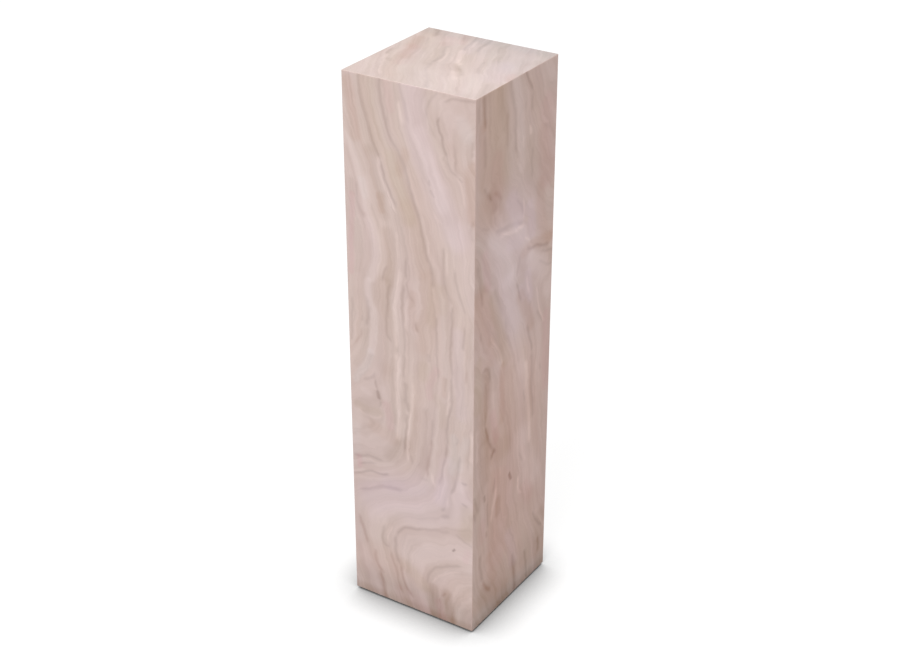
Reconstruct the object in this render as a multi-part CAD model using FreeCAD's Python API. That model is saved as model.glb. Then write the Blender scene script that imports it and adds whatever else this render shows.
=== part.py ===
# Pedestal column stand: a hollow square column of five mitred stone slabs, bonded round a timber
# frame, standing on four screw-adjusted glides that leave a shadow gap above the floor.
# Millimetres, +Z up. The origin is on the floor, under the middle of the column, and -Y is the front.
import FreeCAD, Part
import math
import os

from FreeCAD import Vector

# The column's outside, with its glides wound right in
WIDTH = 250.0  # along X
DEPTH = 250.0  # along Y
HEIGHT = 1000.0  # from the floor to the top face
SHADOW_GAP = 4.0  # from the floor to the underside of the stone

# Stone slabs
SLAB_THICKNESS = 20.0
ARRIS = 1.2  # leg of the small bevel that takes the sharpness off every outside edge

# Timber frame inside the stone
BATTEN_SIZE = 24.0
BEAD_SIZE = 5.0  # leg of the adhesive bead that fills each upright mitre's inner corner
BASE_BOARD_THICKNESS = 18.0
TOP_BOARD_THICKNESS = 12.0
BRACE_THICKNESS = 12.0
BRACE_HEIGHT_SHARE = 0.5  # how far up the battens the brace sits
BOARD_CLEARANCE = 0.4  # from a board's edge to the stone
NOTCH_CLEARANCE = 0.4  # from the brace's notches to the battens

# Countersunk wood screws
SCREW_DIAMETER = 5.0
SCREW_HEAD_DIAMETER = 9.6
SCREW_LENGTH = 50.0
SCREW_CLEARANCE = 0.05  # all round, between a screw and its hole

# Tee nuts for the glides
TEE_FLANGE_DIAMETER = 22.0
TEE_FLANGE_THICKNESS = 1.5
TEE_BARREL_DIAMETER = 10.0
TEE_BARREL_LENGTH = 13.0
TEE_PRONG_COUNT = 4
TEE_PRONG_WIDTH = 5.0
TEE_PRONG_LENGTH = 8.0
TEE_PRONG_THICKNESS = 1.5
TEE_CLEARANCE = 0.05  # between the barrel and its hole

# Glides: a threaded stem that turns in a moulded pad
THREAD_DIAMETER = 8.0
THREAD_CLEARANCE = 0.05  # between the stem and the tee nut's bore
STEM_REACH = 13.0  # how far the stem stands above the tee nut's barrel
COLLAR_WIDTH = 13.0  # across the flats of the hexagonal collar
COLLAR_HEIGHT = 6.0
SWIVEL_DIAMETER = 12.0  # the stem's wide foot, which turns in the pad
SWIVEL_HEIGHT = 2.0
NECK_DIAMETER = 8.0  # from the foot to the collar, narrower, so that the pad holds the foot
PAD_DIAMETER = 38.0
PAD_HEIGHT = 10.0
PAD_FLOOR = 3.0  # the pad's material under the stem
RUNNING_CLEARANCE = 0.3  # between faces that pass each other
SOCKET_CLEARANCE = 0.05  # all round the stem's foot and neck in the pad
GLIDE_INSET = 55.0  # from the column's outside to a glide's axis

# Heights and widths that follow from the sizes above
INNER_WIDTH = WIDTH - 2 * SLAB_THICKNESS
INNER_DEPTH = DEPTH - 2 * SLAB_THICKNESS
COLLAR_FOOT = PAD_HEIGHT + RUNNING_CLEARANCE
COLLAR_TOP = COLLAR_FOOT + COLLAR_HEIGHT
TEE_FOOT = COLLAR_TOP + RUNNING_CLEARANCE
BASE_BOARD_FOOT = TEE_FOOT + TEE_FLANGE_THICKNESS
BASE_BOARD_TOP = BASE_BOARD_FOOT + BASE_BOARD_THICKNESS
TOP_BOARD_TOP = HEIGHT - SLAB_THICKNESS
TOP_BOARD_FOOT = TOP_BOARD_TOP - TOP_BOARD_THICKNESS
BATTEN_LENGTH = TOP_BOARD_FOOT - BASE_BOARD_TOP
BRACE_FOOT = BASE_BOARD_TOP + BRACE_HEIGHT_SHARE * BATTEN_LENGTH - BRACE_THICKNESS / 2
STEM_TOP = BASE_BOARD_FOOT + TEE_BARREL_LENGTH + STEM_REACH

# Corner name to the signs of its X and Y
CORNERS = {
    "front_left": (-1, -1),
    "front_right": (1, -1),
    "back_right": (1, 1),
    "back_left": (-1, 1),
}


def closed_face(points):
    """A flat face with straight edges between the points."""
    return Part.Face(Part.makePolygon(list(points) + [points[0]]))


def turned(outline):
    """The solid that a straight-sided outline, given as (radius, height), sweeps round the Z axis."""
    profile = closed_face([Vector(r, 0, z) for r, z in outline])
    return profile.revolve(Vector(0, 0, 0), Vector(0, 0, 1), 360)


def hexagon_prism(width, foot, height):
    """A hexagonal prism of that width across its flats."""
    radius = width / math.sqrt(3)
    ring = [
        Vector(radius * math.cos(math.radians(a)), radius * math.sin(math.radians(a)), foot)
        for a in range(0, 360, 60)
    ]
    return closed_face(ring).extrude(Vector(0, 0, height))


def centred_box(size_x, size_y, foot, height):
    """A box that stands at that height, centred on the Z axis."""
    return Part.makeBox(size_x, size_y, height, Vector(-size_x / 2, -size_y / 2, foot))


# Stone


def arrised_envelope():
    """The column's outside as one block, with its edges bevelled. Cutting the slabs to it bevels them."""
    block = centred_box(WIDTH, DEPTH, SHADOW_GAP, HEIGHT - SHADOW_GAP)
    return block.makeChamfer(ARRIS, block.Edges)


def slab_between(outer, inner):
    """A slab from an outer to an inner rectangle of four corners each. Its edges slope as the mitres do."""
    faces = [closed_face(outer), closed_face(inner)]
    for i in range(4):
        j = (i + 1) % 4
        faces.append(closed_face([outer[i], outer[j], inner[j], inner[i]]))
    slab = Part.Solid(Part.Shell(faces))
    if slab.Volume < 0:
        slab.reverse()
    return slab


def side_panel(face_width, reach, turn):
    """An upright slab, mitred at 45 degrees up both sides and along the top. It is made at the front,
    with its face at -reach on Y, and then turned round the column."""
    half = face_width / 2

    def rectangle(inset):
        y = -reach + inset
        left, right, top = -half + inset, half - inset, HEIGHT - inset
        return [
            Vector(left, y, SHADOW_GAP),
            Vector(right, y, SHADOW_GAP),
            Vector(right, y, top),
            Vector(left, y, top),
        ]

    panel = slab_between(rectangle(0), rectangle(SLAB_THICKNESS))
    panel.rotate(Vector(0, 0, 0), Vector(0, 0, 1), turn)
    return panel


def top_panel():
    """The top slab, mitred at 45 degrees all round."""

    def rectangle(inset):
        x, y, z = WIDTH / 2 - inset, DEPTH / 2 - inset, HEIGHT - inset
        return [Vector(-x, -y, z), Vector(x, -y, z), Vector(x, y, z), Vector(-x, y, z)]

    return slab_between(rectangle(0), rectangle(SLAB_THICKNESS))


def stone_panels():
    panels = {
        "front_panel": side_panel(WIDTH, DEPTH / 2, 0),
        "right_panel": side_panel(DEPTH, WIDTH / 2, 90),
        "back_panel": side_panel(WIDTH, DEPTH / 2, 180),
        "left_panel": side_panel(DEPTH, WIDTH / 2, 270),
        "top_panel": top_panel(),
    }
    envelope = arrised_envelope()
    return {name: panel.common(envelope) for name, panel in panels.items()}


# Screws


def screw(clearance=0.0):
    """A countersunk screw that stands up from height 0, head down. With a clearance it is the shape
    of the hole that the screw needs."""
    head = SCREW_HEAD_DIAMETER / 2 + clearance
    shank = SCREW_DIAMETER / 2 + clearance
    tip = SCREW_LENGTH + clearance
    return turned([(0, 0), (head, 0), (shank, head - shank), (shank, tip), (0, tip)])


def at_battens(shape):
    """Copies of a screw or its hole, one up each batten's middle line from the base board's underside."""
    copies = []
    for sign_x, sign_y in CORNERS.values():
        copy = shape.copy()
        x = sign_x * (INNER_WIDTH - BATTEN_SIZE) / 2
        y = sign_y * (INNER_DEPTH - BATTEN_SIZE) / 2
        copy.translate(Vector(x, y, BASE_BOARD_FOOT))
        copies.append(copy)
    return copies


def screw_holes():
    return at_battens(screw(SCREW_CLEARANCE))


# Timber frame


def corner_prism(outline, corner, foot, height):
    """A prism in an inner corner of the stone. Its outline is given as distances from the two slabs."""
    sign_x, sign_y = CORNERS[corner]
    points = [
        Vector(sign_x * (INNER_WIDTH / 2 - u), sign_y * (INNER_DEPTH / 2 - v), foot)
        for u, v in outline
    ]
    return closed_face(points).extrude(Vector(0, 0, height))


def corner_batten(corner):
    """An upright batten, with its outer edge cut back for the adhesive bead, drilled for its screw."""
    outline = [
        (BEAD_SIZE, 0),
        (BATTEN_SIZE, 0),
        (BATTEN_SIZE, BATTEN_SIZE),
        (0, BATTEN_SIZE),
        (0, BEAD_SIZE),
    ]
    batten = corner_prism(outline, corner, BASE_BOARD_TOP, BATTEN_LENGTH)
    return batten.cut(screw_holes())


def adhesive_beads():
    """The bead that fills each upright mitre's inner corner, beside the batten."""
    outline = [(0, 0), (BEAD_SIZE, 0), (0, BEAD_SIZE)]
    return Part.makeCompound(
        [corner_prism(outline, c, BASE_BOARD_TOP, BATTEN_LENGTH) for c in CORNERS]
    )


def board(foot, thickness):
    """A board that fills the inside of the stone, apart from the clearance round its edge."""
    size_x = INNER_WIDTH - 2 * BOARD_CLEARANCE
    size_y = INNER_DEPTH - 2 * BOARD_CLEARANCE
    return centred_box(size_x, size_y, foot, thickness)


def base_board():
    """The board that ties the battens' feet together and carries the tee nuts."""
    barrel_hole = Part.makeCylinder(
        TEE_BARREL_DIAMETER / 2 + TEE_CLEARANCE, BASE_BOARD_THICKNESS, Vector(0, 0, BASE_BOARD_FOOT)
    )
    cutters = screw_holes() + at_glides(barrel_hole) + at_glides(tee_prongs())
    return board(BASE_BOARD_FOOT, BASE_BOARD_THICKNESS).cut(cutters)


def mid_brace():
    """The board at mid height that holds the tall slabs square, notched round the battens."""
    notch = BATTEN_SIZE + NOTCH_CLEARANCE
    outline = [(0, 0), (notch, 0), (notch, notch), (0, notch)]
    notches = [corner_prism(outline, c, BRACE_FOOT, BRACE_THICKNESS) for c in CORNERS]
    return board(BRACE_FOOT, BRACE_THICKNESS).cut(notches)


def timber_frame():
    frame = {f"corner_batten_{corner}": corner_batten(corner) for corner in CORNERS}
    frame["adhesive_beads"] = adhesive_beads()
    frame["base_board"] = base_board()
    frame["mid_brace"] = mid_brace()
    frame["top_board"] = board(TOP_BOARD_FOOT, TOP_BOARD_THICKNESS)
    frame["base_board_screws"] = Part.makeCompound(at_battens(screw()))
    return frame


# Levelling glides


def at_glide(shape, corner):
    """A copy of the shape, moved from the Z axis to a corner's glide axis."""
    sign_x, sign_y = CORNERS[corner]
    copy = shape.copy()
    copy.translate(
        Vector(sign_x * (WIDTH / 2 - GLIDE_INSET), sign_y * (DEPTH / 2 - GLIDE_INSET), 0)
    )
    return copy


def at_glides(shape):
    return [at_glide(shape, corner) for corner in CORNERS]


def tee_prongs():
    """The pointed prongs, bent up from the flange, that keep a tee nut from turning in the board."""
    half = TEE_PRONG_WIDTH / 2
    # the blade's outer corners lie on the flange's edge
    outer = math.sqrt((TEE_FLANGE_DIAMETER / 2) ** 2 - half**2)
    blade = closed_face(
        [
            Vector(outer, -half, BASE_BOARD_FOOT),
            Vector(outer, half, BASE_BOARD_FOOT),
            Vector(outer, 0, BASE_BOARD_FOOT + TEE_PRONG_LENGTH),
        ]
    ).extrude(Vector(-TEE_PRONG_THICKNESS, 0, 0))
    prongs = []
    for i in range(TEE_PRONG_COUNT):
        prong = blade.copy()
        prong.rotate(Vector(0, 0, 0), Vector(0, 0, 1), i * 360 / TEE_PRONG_COUNT)
        prongs.append(prong)
    return Part.makeCompound(prongs)


def tee_nut():
    bore = THREAD_DIAMETER / 2 + THREAD_CLEARANCE
    barrel = TEE_BARREL_DIAMETER / 2
    flange = TEE_FLANGE_DIAMETER / 2
    top = BASE_BOARD_FOOT + TEE_BARREL_LENGTH
    body = turned(
        [
            (bore, TEE_FOOT),
            (flange, TEE_FOOT),
            (flange, BASE_BOARD_FOOT),
            (barrel, BASE_BOARD_FOOT),
            (barrel, top),
            (bore, top),
        ]
    )
    return body.fuse(tee_prongs().Solids)


def glide_stem():
    """The stem: a wide foot that turns in the pad, a hexagonal collar to turn it by, and the thread."""
    foot = SWIVEL_DIAMETER / 2
    neck = NECK_DIAMETER / 2
    thread = THREAD_DIAMETER / 2
    body = turned(
        [
            (0, PAD_FLOOR),
            (foot, PAD_FLOOR),
            (foot, PAD_FLOOR + SWIVEL_HEIGHT),
            (neck, PAD_FLOOR + SWIVEL_HEIGHT),
            (neck, COLLAR_FOOT),
            (thread, COLLAR_TOP),
            (thread, STEM_TOP),
            (0, STEM_TOP),
        ]
    )
    return body.fuse(hexagon_prism(COLLAR_WIDTH, COLLAR_FOOT, COLLAR_HEIGHT))


def glide_pad():
    """The pad: a thick disc with an undercut socket for the stem's foot."""
    radius = PAD_DIAMETER / 2
    socket = SWIVEL_DIAMETER / 2 + SOCKET_CLEARANCE
    mouth = NECK_DIAMETER / 2 + SOCKET_CLEARANCE
    ledge = PAD_FLOOR + SWIVEL_HEIGHT + SOCKET_CLEARANCE
    return turned(
        [
            (0, 0),
            (radius, 0),
            (radius, PAD_HEIGHT),
            (mouth, PAD_HEIGHT),
            (mouth, ledge),
            (socket, ledge),
            (socket, PAD_FLOOR),
            (0, PAD_FLOOR),
        ]
    )


def levelling_glides():
    glides = {"tee_nuts": Part.makeCompound(at_glides(tee_nut()))}
    for corner in CORNERS:
        glides[f"glide_stem_{corner}"] = at_glide(glide_stem(), corner)
        glides[f"glide_pad_{corner}"] = at_glide(glide_pad(), corner)
    return glides


def main():
    os.makedirs("parts", exist_ok=True)
    parts = {**stone_panels(), **timber_frame(), **levelling_glides()}
    for name, shape in parts.items():
        shape.exportStep(f"parts/{name}.step")
        print(f"{name}: {len(shape.Solids)} solid(s), {shape.Volume / 1000:.1f} cm3, valid {shape.isValid()}")


main()
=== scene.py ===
import math

import bpy
import numpy as np
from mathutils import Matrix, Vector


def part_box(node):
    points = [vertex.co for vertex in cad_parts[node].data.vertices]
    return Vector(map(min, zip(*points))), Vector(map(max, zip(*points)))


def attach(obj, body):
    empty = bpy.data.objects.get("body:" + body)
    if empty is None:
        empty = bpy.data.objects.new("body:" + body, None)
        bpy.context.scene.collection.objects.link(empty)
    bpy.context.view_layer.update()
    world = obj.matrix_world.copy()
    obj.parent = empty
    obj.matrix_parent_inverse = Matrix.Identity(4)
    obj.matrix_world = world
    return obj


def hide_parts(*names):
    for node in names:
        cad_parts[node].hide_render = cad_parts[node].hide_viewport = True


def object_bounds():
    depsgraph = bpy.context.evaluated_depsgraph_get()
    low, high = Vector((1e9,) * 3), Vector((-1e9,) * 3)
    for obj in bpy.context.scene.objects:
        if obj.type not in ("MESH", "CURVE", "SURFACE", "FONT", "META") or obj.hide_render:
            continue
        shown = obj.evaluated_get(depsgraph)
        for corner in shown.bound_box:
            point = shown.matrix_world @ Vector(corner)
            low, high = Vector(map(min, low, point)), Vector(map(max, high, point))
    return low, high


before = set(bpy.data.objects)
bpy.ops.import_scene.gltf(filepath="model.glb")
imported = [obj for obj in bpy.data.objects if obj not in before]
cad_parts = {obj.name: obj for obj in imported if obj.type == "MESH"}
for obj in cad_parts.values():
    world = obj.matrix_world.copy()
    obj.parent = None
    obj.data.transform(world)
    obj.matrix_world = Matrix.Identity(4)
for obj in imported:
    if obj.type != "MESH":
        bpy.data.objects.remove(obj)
cad_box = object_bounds()

# The looks of a stone-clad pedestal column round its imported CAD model. Lengths are in metres, apart
# from the grid steps and traced lines of the stone, in millimetres on the face of their slab.

MM = 0.001

# Camera

CAMERA_AZIMUTH = 32.8177
CAMERA_ELEVATION = 28.0802
CAMERA_LENS = 69.5
CAMERA_PLACE = (1.4266, -2.2153, 1.9225)

# Light and floor

SKY_LEVEL = 0.8  # world light on the object; the camera sees plain white instead
LAMP_DIRECTION = (0.07, -0.70, 0.71)
LAMP_DISTANCE = 12.0
LAMP_SIZE = 6.0
LAMP_LEVEL = 0.5  # what a white surface that faces the lamp returns of its light alone
FLOOR_SIZE = 12.0
FLOOR_BOUNCE = 0.30  # grey of the floor for every ray but the camera's
FLOOR_SEEN = 0.25  # grey of the floor that the camera sees, under its own glow
FLOOR_MOTTLE = (0.98, 1.02)  # how far that grey strays
FLOOR_GLOW = 0.80  # strength of the glow that turns it white, away from the contact shadow
CONTACT_REACH = 0.09  # how far the contact shadow reaches from the stone's foot
CONTACT_RANGE = (0.38, 0.955)  # share of open sky at which the floor's glow starts and is full
CONTACT_POWER = 0.8
WHITE = (1, 1, 1, 1)

# Stone slabs

GRID_STEP = 2.0  # spacing of the mesh on a slab's face
ARRIS = 1.2 * MM  # the rounded edge, as large as the CAD model's bevel
ARRIS_STEPS = 3
SHARP_ANGLE = 25  # degrees between faces from which an edge isn't smoothed
FLOW_STEP = 12.5  # spacing of the grid on which the bedding is worked out
LINE_STEP = 1.5  # spacing of the points along a traced line
TAPER = 9.0  # how long a traced line's end takes to fade
TAPER_POWER = 0.7
TAPER_WIDTH = 0.6  # share of its width that a line keeps at a tapered end
STROKE_REACH = 2.2  # half widths beyond which a stroke adds nothing
STROKE_MARGIN = 3.0  # added to that reach, for the narrowest lines
LINE_POWER = 2  # how squarely a line's edge falls off
ZONE_POWER = 4  # how squarely a zone's edge falls off
EDGE_BAND = 6  # a line that ends this near the face's edge runs off it, without a taper
WOBBLES = ((16.0, 0.9), (6.5, 1.1))  # how far traced lines stray from their course, by wavelength

# The bedding: how stiff it is, how gently it is drawn to straight bands, and its hold on the lines
FLOW_STIFFNESS = 0.5
FLOW_DRAW = 0.004
FLOW_FLOOR = 1e-9
FLOW_LINE_STEP = 6.0
STRONG_HOLD = 1.0
WEAK_HOLD = 0.1

BASE_COLOUR = (0.650, 0.510, 0.466)
TONE = (0.0663, 0.0576, 0.0546)
WARMTH = (0.0186, 0.0046, -0.0148)
ROSE = (0.0100, -0.0139, 0.0049)

FINE_BUMP = 0.2 * MM  # depth of the finest bumps, on the stone, the steel and the plastic

# Sizes of the stone's noises across the bands, along them and in depth, and how far each swings
DRIFT_SCALE = 24.0
DRIFT_REACH = (0.012, 0.03, 0.0)
CLOUD_SCALE = 30.0
GRAIN_SCALE = 900.0
BAND_EDGES = (0.40, 0.60)  # values of the bands' noise at which a band starts and is full
JAG_SIZES = (0.020, 0.010, 0.05)
WIDE_SIZES = (0.034, 0.30, 0.2)
TINGE_SIZES = (0.021, 0.17, 0.3)
BAND_SIZES = (0.0085, 0.13, 0.08)
FINE_SIZES = (0.0026, 0.075, 0.03)
JAG_SWING = 0.0032
BAND_TONE = 0.38
FINE_TONE = 0.8
CLOUD_TONE = 0.35
GRAIN_TONE = 0.35
WIDE_WARMTH = 0.82
BAND_WARMTH = -0.15
TINGE_ROSE = 0.58

# What a traced line or zone of each kind adds: tone, warmth, rose.
KINDS = {
    "vein": (-1.3, 0.0, 0.0),
    "umber": (-1.4, 0.5, 0.3),
    "pale": (1.2, 0.0, 0.1),
    "light": (0.9, -0.45, 0.0),
    "lilac": (0.5, -0.9, 0.4),
    "blue": (0.6, -1.0, -0.4),
    "tan": (-0.7, 0.7, -0.4),
    "brown": (-1.0, 1.0, 0.3),
    "rose": (-0.4, 0.55, 1.3),
    "shade": (-1.0, 0.35, 0.0),
    "fleck": (-1.9, 0.1, 0.0),
    "warm": (0.0, 1.0, 0.7),
    "cool": (-0.2, -0.85, -0.4),
}
LINES = ("vein", "umber", "pale")

# Each stroke: kind, half width, strength, then its points across and up the face, downstream.
FRONT_STROKES = (
    # upper third, zones
    ("tan", 24, 0.7, (48, 1000), (50, 960), (54, 920), (58, 890)),
    ("brown", 11, 0.7, (12, 985), (18, 950), (22, 920), (24, 895)),
    ("rose", 9, 0.4, (88, 1000), (92, 975), (94, 955)),
    ("brown", 9, 0.4, (120, 885), (114, 868), (106, 850)),
    ("tan", 16, 0.8, (92, 872), (98, 848), (106, 822), (116, 800), (124, 775)),
    ("brown", 20, 0.4, (122, 790), (132, 755), (140, 725), (150, 690)),
    ("brown", 7, 0.7, (70, 800), (74, 776)),
    ("shade", 13, 0.7, (50, 872), (59, 835), (68, 805), (78, 770)),
    ("shade", 12, 0.9, (84, 740), (90, 710), (90, 680), (86, 655)),
    (
        "lilac", 24, 0.9, (135, 1000), (138, 960), (140, 925), (153, 890), (168, 860), (182, 830),
        (198, 795), (215, 760),
    ),
    ("light", 12, 0.6, (148, 925), (162, 890), (170, 862), (179, 835), (189, 808)),
    ("light", 15, 0.5, (180, 985), (196, 966), (232, 945)),
    ("blue", 13, 0.5, (226, 958), (234, 935)),
    ("light", 26, 0.7, (226, 765), (232, 730), (236, 690), (246, 655)),
    ("light", 9, 0.9, (0, 892), (12, 880), (22, 856), (32, 830), (40, 800), (44, 770)),
    ("light", 10, 1, (47, 752), (58, 725), (61, 700), (58, 675), (49, 650)),
    ("blue", 7, 0.5, (34, 822), (40, 795)),
    ("rose", 6, 0.8, (14, 790), (14, 760), (11, 730), (10, 700), (9, 670), (8, 650)),
    ("shade", 7, 0.5, (15, 815), (16, 795)),
    ("brown", 13, 0.9, (248, 888), (240, 872), (244, 840), (250, 800)),
    ("brown", 10, 0.3, (206, 915), (222, 880)),
    ("shade", 10, 0.3, (28, 740), (30, 700), (22, 660)),
    # upper third, lines
    ("vein", 3, 0.9, (33, 1000), (34, 965), (40, 950), (46, 930), (51, 912), (57, 893), (63, 880), (74, 864)),
    ("pale", 2.8, 0.8, (64, 868), (69, 850), (73, 832), (81, 812), (92, 792), (101, 778)),
    ("vein", 2.6, 1, (73, 862), (76, 846), (81, 828), (90, 808), (103, 786)),
    (
        "vein", 3.8, 1, (73, 1000), (73, 980), (77, 958), (81, 940), (87, 918), (95, 900), (106, 885),
        (114, 868), (121, 852), (127, 833), (132, 815), (138, 798), (145, 782), (149, 762), (153, 740),
        (158, 716), (166, 700), (171, 680), (172, 660),
    ),
    ("vein", 2.6, 1.3, (185, 960), (178, 949), (182, 937), (189, 929), (189, 916), (195, 904), (200, 892)),
    ("vein", 2.4, 0.9, (200, 894), (200, 884), (206, 874), (216, 867), (229, 860)),
    ("vein", 2.4, 0.7, (209, 922), (213, 905), (214, 890), (213, 878), (219, 868)),
    ("vein", 2.8, 0.7, (110, 1000), (113, 984), (119, 970), (123, 952), (128, 934)),
    ("vein", 3, 0.6, (180, 998), (170, 986), (163, 975), (159, 962), (161, 950)),
    ("vein", 2.4, 0.9, (192, 984), (202, 991), (220, 994), (248, 996)),
    ("vein", 2, 0.5, (165, 945), (170, 932), (176, 920)),
    ("vein", 2.4, 0.7, (244, 928), (243, 900)),
    ("vein", 2.6, 0.7, (25, 818), (23, 796), (25, 778), (32, 764), (38, 752)),
    ("vein", 2.6, 0.5, (52, 785), (56, 770), (64, 755), (66, 738)),
    ("vein", 2.4, 0.3, (110, 760), (113, 735), (120, 712), (124, 695)),
    ("vein", 2.6, 0.9, (119, 704), (118, 685), (119, 662)),
    ("vein", 3, 1, (83, 680), (77, 673), (73, 658), (70, 645)),
    ("vein", 3, 0.8, (190, 742), (191, 715), (191, 692), (193, 672), (200, 655), (207, 642)),
    ("vein", 2.8, 0.8, (212, 708), (214, 690), (218, 673), (223, 660), (227, 645), (236, 629)),
    ("fleck", 2, 0.5, (164, 848), (166, 842)),
    ("fleck", 2.2, 0.5, (168, 832), (173, 824)),
    ("vein", 3, 0.6, (246, 795), (240, 783), (245, 768)),
    ("pale", 3.6, 1, (109, 972), (110, 955), (114, 940), (116, 930)),
    ("pale", 2.4, 0.5, (121, 862), (130, 840), (137, 818), (145, 800), (151, 787)),
    ("pale", 2.4, 0.6, (213, 872), (222, 858), (227, 840), (230, 815)),
    ("pale", 3, 0.4, (172, 800), (180, 785), (192, 778)),
    ("pale", 3, 0.5, (198, 737), (198, 712), (197, 690)),
    ("pale", 2.4, 0.7, (101, 748), (102, 720), (104, 697)),
    ("pale", 2.6, 0.5, (161, 735), (168, 715), (176, 698)),
    # middle third, zones
    ("light", 8, 1.2, (42, 640), (42, 608), (51, 588), (53, 562), (51, 535), (46, 512)),
    ("blue", 8, 0.7, (44, 506), (38, 484), (26, 466), (12, 446)),
    ("shade", 17, 0.6, (74, 642), (73, 610), (72, 580), (70, 550), (70, 515), (72, 485)),
    ("shade", 6, 0.5, (90, 505), (90, 470), (90, 430), (92, 385)),
    ("brown", 9, 0.3, (78, 490), (76, 465)),
    ("brown", 20, 0.4, (160, 672), (164, 645), (163, 610), (158, 580), (152, 552)),
    ("tan", 12, 0.5, (176, 665), (172, 630), (168, 600)),
    ("brown", 8, 0.5, (133, 640), (131, 610), (134, 580)),
    ("tan", 9, 0.4, (190, 665), (194, 645), (190, 625)),
    ("tan", 11, 0.5, (152, 512), (150, 492)),
    ("rose", 8, 0.5, (176, 512), (168, 496), (160, 475), (163, 458)),
    ("brown", 6, 0.6, (193, 498), (192, 470)),
    ("lilac", 12, 0.7, (218, 590), (220, 555), (220, 515), (226, 478), (226, 440)),
    ("light", 9, 0.3, (234, 545), (238, 500), (238, 460), (232, 420)),
    ("blue", 9, 0.7, (211, 392), (211, 360), (208, 325)),
    ("blue", 8, 0.6, (236, 395), (228, 365), (222, 335)),
    ("tan", 9, 0.5, (60, 394), (38, 390), (12, 396)),
    ("rose", 9, 0.6, (74, 414), (80, 395), (82, 372)),
    ("brown", 14, 0.5, (88, 352), (68, 355), (48, 362)),
    ("shade", 14, 0.6, (148, 420), (144, 385), (146, 350), (150, 320)),
    ("shade", 8, 0.5, (36, 545), (35, 520), (28, 496), (14, 476)),
    ("shade", 18, 0.8, (112, 345), (98, 328), (84, 318)),
    ("tan", 10, 0.4, (178, 458), (190, 440), (188, 412)),
    ("blue", 12, 0.5, (8, 350), (6, 320), (4, 300)),
    ("light", 7, 0.5, (68, 442), (72, 425)),
    ("light", 6, 0.5, (26, 430), (38, 425)),
    # middle third, lines
    ("vein", 3.2, 0.9, (88, 648), (81, 636), (79, 620), (79, 595), (77, 570), (78, 552), (88, 538)),
    ("pale", 4.8, 0.9, (107, 682), (105, 655), (99, 634), (94, 608), (95, 580), (96, 556), (99, 530)),
    ("pale", 6.6, 1.1, (101, 524), (99, 500), (97, 472), (98, 440), (101, 410), (101, 380), (99, 348)),
    ("vein", 3.4, 0.8, (114, 655), (111, 630), (110, 600), (112, 570), (115, 545), (114, 522)),
    ("pale", 3.4, 0.7, (121, 632), (118, 612), (117, 590), (119, 565)),
    ("vein", 2.6, 0.6, (136, 625), (128, 632), (121, 645), (119, 662)),
    ("vein", 3.6, 0.8, (113, 528), (112, 500), (109, 485), (113, 472)),
    ("vein", 4.8, 1.1, (111, 474), (114, 455), (115, 436), (120, 421), (122, 410)),
    ("vein", 3.4, 1, (122, 412), (116, 400), (115, 380), (112, 355), (110, 330)),
    (
        "pale", 3.2, 0.9, (130, 474), (130, 450), (128, 427), (124, 408), (121, 388), (119, 365),
        (118, 342), (116, 312),
    ),
    ("vein", 2.6, 1, (136, 593), (136, 581), (142, 571)),
    ("vein", 2.4, 0.8, (179, 612), (178, 590), (177, 565), (177, 540), (179, 518), (179, 495)),
    ("fleck", 3.4, 0.4, (162, 535), (162, 526)),
    ("vein", 2.6, 0.9, (208, 642), (208, 620), (206, 596), (205, 570), (204, 546), (207, 522), (208, 505)),
    (
        "vein", 2.6, 1, (208, 510), (207, 480), (206, 448), (202, 432), (199, 424), (199, 400),
        (198, 374), (195, 345),
    ),
    ("pale", 2.6, 0.8, (203, 482), (202, 460), (199, 438), (193, 428)),
    ("vein", 2.8, 1, (231, 610), (230, 588), (229, 562)),
    ("umber", 2.8, 0.6, (236, 532), (234, 515), (235, 500)),
    ("vein", 3.8, 0.9, (38, 612), (43, 592), (42, 572), (33, 554)),
    ("vein", 2.4, 0.5, (31, 575), (27, 560)),
    ("umber", 2.6, 0.8, (26, 552), (25, 537), (20, 525), (8, 512)),
    ("vein", 2.6, 0.8, (10, 605), (8, 575), (6, 550), (4, 522)),
    ("vein", 3, 0.8, (54, 470), (49, 460), (38, 454), (26, 446)),
    ("vein", 2.6, 0.9, (52, 458), (53, 444), (56, 434)),
    ("fleck", 4.2, 1.1, (56, 432), (59, 423)),
    ("vein", 2.6, 0.9, (60, 420), (63, 410), (58, 404)),
    ("pale", 2.4, 0.6, (14, 388), (30, 380), (48, 378), (60, 383), (66, 394)),
    ("vein", 2.6, 0.7, (168, 418), (170, 400), (168, 382), (166, 365)),
    ("umber", 3.4, 1, (168, 376), (166, 350), (161, 328), (158, 308), (157, 294)),
    ("fleck", 2.4, 0.3, (195, 500), (195, 480)),
    ("vein", 2.4, 0.7, (214, 398), (219, 389), (216, 376)),
    ("vein", 3.2, 1, (224, 362), (222, 345), (219, 325), (216, 305), (210, 288), (206, 276)),
    ("vein", 2.4, 0.6, (243, 404), (240, 370), (240, 335)),
    ("pale", 5, 0.8, (248, 405), (247, 385), (246, 360)),
    # lower third, zones
    ("lilac", 40, 0.8, (215, 275), (170, 240), (125, 225), (80, 230), (50, 215)),
    ("lilac", 24, 0.5, (140, 275), (105, 270), (80, 262)),
    ("light", 26, 0.3, (150, 212), (100, 205), (60, 195), (40, 185)),
    ("light", 34, 0.6, (245, 160), (200, 165), (150, 150), (125, 130)),
    ("lilac", 16, 0.7, (198, 335), (190, 300), (186, 260)),
    ("light", 12, 0.7, (238, 340), (232, 325), (226, 300)),
    ("rose", 6, 0.8, (13, 290), (15, 272)),
    ("rose", 8, 0.4, (240, 168), (236, 152)),
    ("tan", 16, 0.9, (238, 250), (241, 225), (236, 205)),
    ("tan", 14, 0.7, (112, 92), (128, 84), (146, 62)),
    ("brown", 24, 0.35, (90, 88), (60, 98), (30, 100)),
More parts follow.
